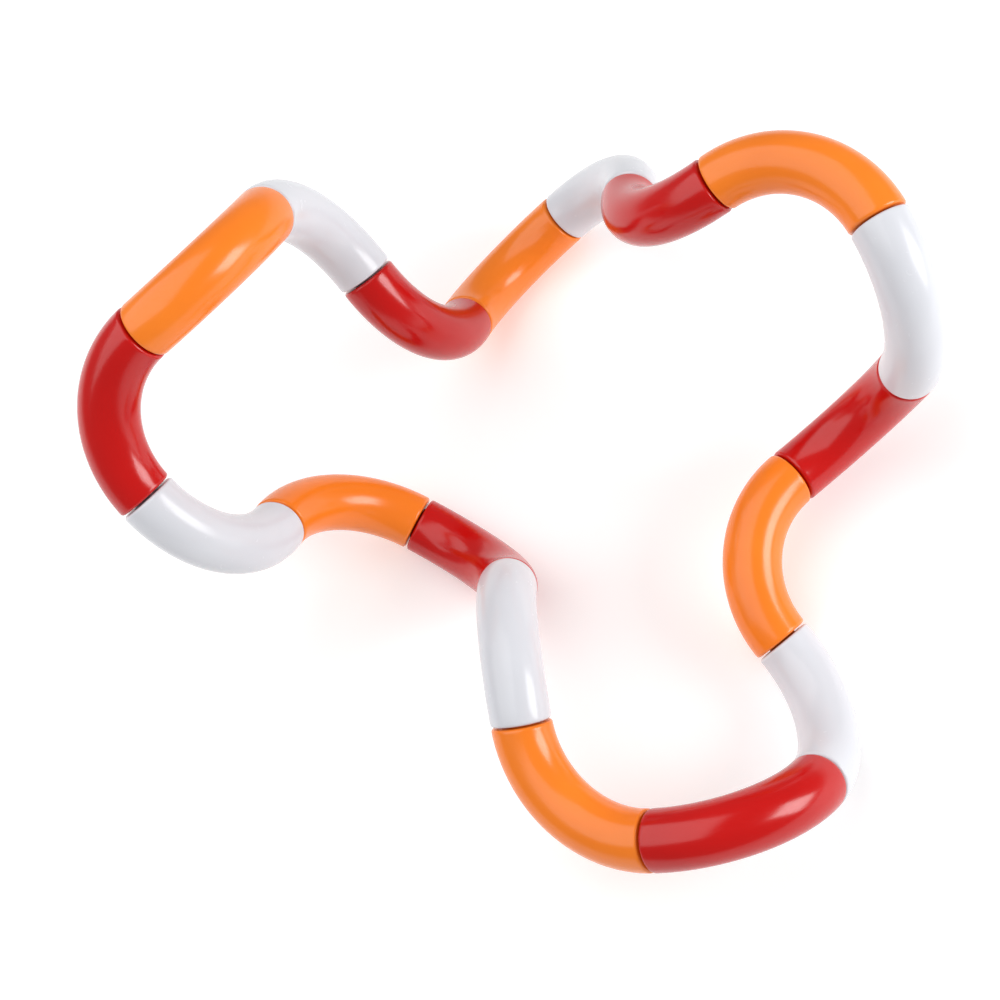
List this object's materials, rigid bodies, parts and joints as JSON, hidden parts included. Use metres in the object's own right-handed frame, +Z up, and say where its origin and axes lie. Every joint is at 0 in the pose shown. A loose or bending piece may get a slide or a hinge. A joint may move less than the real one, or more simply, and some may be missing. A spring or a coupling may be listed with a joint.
{
  "type": "twisty snake puzzle",
  "caption": "Endless chain of quarter-bend tube links in red, orange and white that snap together and turn on each other.",
  "frame": {"origin": "on the table the chain lies on, under the middle of its bounding box", "axes": "+Z up from the table, +X to the right of the chain as it lies, +Y away from the viewer"},
  "size_m": [0.191, 0.1878, 0.1083],
  "materials": {
    "red_plastic": "glossy moulded red plastic",
    "orange_plastic": "glossy moulded orange plastic",
    "white_plastic": "glossy moulded white plastic"
  },
  "bodies": {
    "link_01": {"link_01_red_tube": "red_plastic", "link_01_red_plug": "red_plastic"},
    "link_02": {"link_02_orange_tube": "orange_plastic", "link_02_orange_plug": "orange_plastic"},
    "link_03": {"link_03_white_tube": "white_plastic", "link_03_white_plug": "white_plastic"},
    "link_04": {"link_04_red_tube": "red_plastic", "link_04_red_plug": "red_plastic"},
    "link_05": {"link_05_orange_tube": "orange_plastic", "link_05_orange_plug": "orange_plastic"},
    "link_06": {"link_06_white_tube": "white_plastic", "link_06_white_plug": "white_plastic"},
    "link_07": {"link_07_red_tube": "red_plastic", "link_07_red_plug": "red_plastic"},
    "link_08": {"link_08_orange_tube": "orange_plastic", "link_08_orange_plug": "orange_plastic"},
    "link_09": {"link_09_white_tube": "white_plastic", "link_09_white_plug": "white_plastic"},
    "link_10": {"link_10_red_tube": "red_plastic", "link_10_red_plug": "red_plastic"},
    "link_11": {"link_11_orange_tube": "orange_plastic", "link_11_orange_plug": "orange_plastic"},
    "link_12": {"link_12_white_tube": "white_plastic", "link_12_white_plug": "white_plastic"},
    "link_13": {"link_13_red_tube": "red_plastic", "link_13_red_plug": "red_plastic"},
    "link_14": {"link_14_orange_tube": "orange_plastic", "link_14_orange_plug": "orange_plastic"},
    "link_15": {"link_15_white_tube": "white_plastic", "link_15_white_plug": "white_plastic"},
    "link_16": {"link_16_red_tube": "red_plastic", "link_16_red_plug": "red_plastic"},
    "link_17": {"link_17_orange_tube": "orange_plastic", "link_17_orange_plug": "orange_plastic"},
    "link_18": {"link_18_white_tube": "white_plastic", "link_18_white_plug": "white_plastic"}
  },
  "joints": [
    {"name": "pivot_07_08", "type": "hinge", "parent": "link_08", "child": "link_07", "pos_m": [0.02273, -0.08662, 0.03202], "axis": [-0.9395, 0.095, -0.3291], "continuous": true},
    {"name": "pivot_08_09", "type": "hinge", "parent": "link_09", "child": "link_08", "pos_m": [-0.00556, -0.05915, 0.03563], "axis": [0.0709, -0.886, -0.4583], "continuous": true},
    {"name": "pivot_09_10", "type": "hinge", "parent": "link_10", "child": "link_09", "pos_m": [-0.01161, -0.02187, 0.02373], "axis": [-0.1452, 0.4454, -0.8835], "range_deg": [-175, 145]},
    {"name": "pivot_10_11", "type": "hinge", "parent": "link_11", "child": "link_10", "pos_m": [-0.03867, 0.00302, 0.00903], "axis": [-0.8213, 0.4437, 0.3586], "range_deg": [-225, 75]},
    {"name": "pivot_11_12", "type": "hinge", "parent": "link_12", "child": "link_11", "pos_m": [-0.0656, -0.00602, 0.03662], "axis": [0.1405, 0.7666, -0.6266], "range_deg": [-75, 210]},
    {"name": "pivot_12_13", "type": "hinge", "parent": "link_13", "child": "link_12", "pos_m": [-0.08425, -0.01085, 0.07122], "axis": [-0.5254, 0.5941, 0.609], "continuous": true},
    {"name": "pivot_13_14", "type": "hinge", "parent": "link_14", "child": "link_13", "pos_m": [-0.07514, 0.01623, 0.09863], "axis": [0.8508, 0.3731, 0.37], "range_deg": [-285, 0]},
    {"name": "pivot_14_15", "type": "hinge", "parent": "link_15", "child": "link_14", "pos_m": [-0.05196, 0.04712, 0.08987], "axis": [-0.0229, 0.7299, -0.6831], "range_deg": [-45, 225]},
    {"name": "pivot_15_16", "type": "hinge", "parent": "link_15", "child": "link_16", "pos_m": [-0.04003, 0.05067, 0.05227], "axis": [-0.4488, 0.6031, 0.6595], "range_deg": [-60, 90]},
    {"name": "pivot_16_17", "type": "hinge", "parent": "link_16", "child": "link_17", "pos_m": [-0.02495, 0.05519, 0.01594], "axis": [0.0898, 0.7647, -0.6381], "continuous": true},
    {"name": "pivot_17_18", "type": "hinge", "parent": "link_17", "child": "link_18", "pos_m": [0.00047, 0.08525, 0.01166], "axis": [0.818, 0.3089, 0.4853], "continuous": true},
    {"name": "pivot_18_01", "type": "hinge", "parent": "link_18", "child": "link_01", "pos_m": [0.02325, 0.07037, 0.04043], "axis": [-0.0043, -0.8403, 0.5421], "range_deg": [-15, 150]},
    {"name": "pivot_01_02", "type": "hinge", "parent": "link_01", "child": "link_02", "pos_m": [0.04746, 0.05427, 0.06731], "axis": [0.8689, 0.2651, 0.4179], "continuous": true},
    {"name": "pivot_02_03", "type": "hinge", "parent": "link_02", "child": "link_03", "pos_m": [0.08293, 0.03715, 0.07141], "axis": [0.3978, -0.8765, -0.2712], "continuous": true},
    {"name": "pivot_03_04", "type": "hinge", "parent": "link_03", "child": "link_04", "pos_m": [0.08564, 0.01694, 0.03747], "axis": [-0.3011, 0.1545, -0.941], "range_deg": [-210, 90]},
    {"name": "pivot_04_05", "type": "hinge", "parent": "link_04", "child": "link_05", "pos_m": [0.05607, 0.0033, 0.01494], "axis": [-0.7549, -0.6415, 0.1362], "continuous": true},
    {"name": "pivot_05_06", "type": "hinge", "parent": "link_05", "child": "link_06", "pos_m": [0.05094, -0.03554, 0.00917], "axis": [0.5717, -0.7456, -0.3424], "continuous": true}
  ]
}
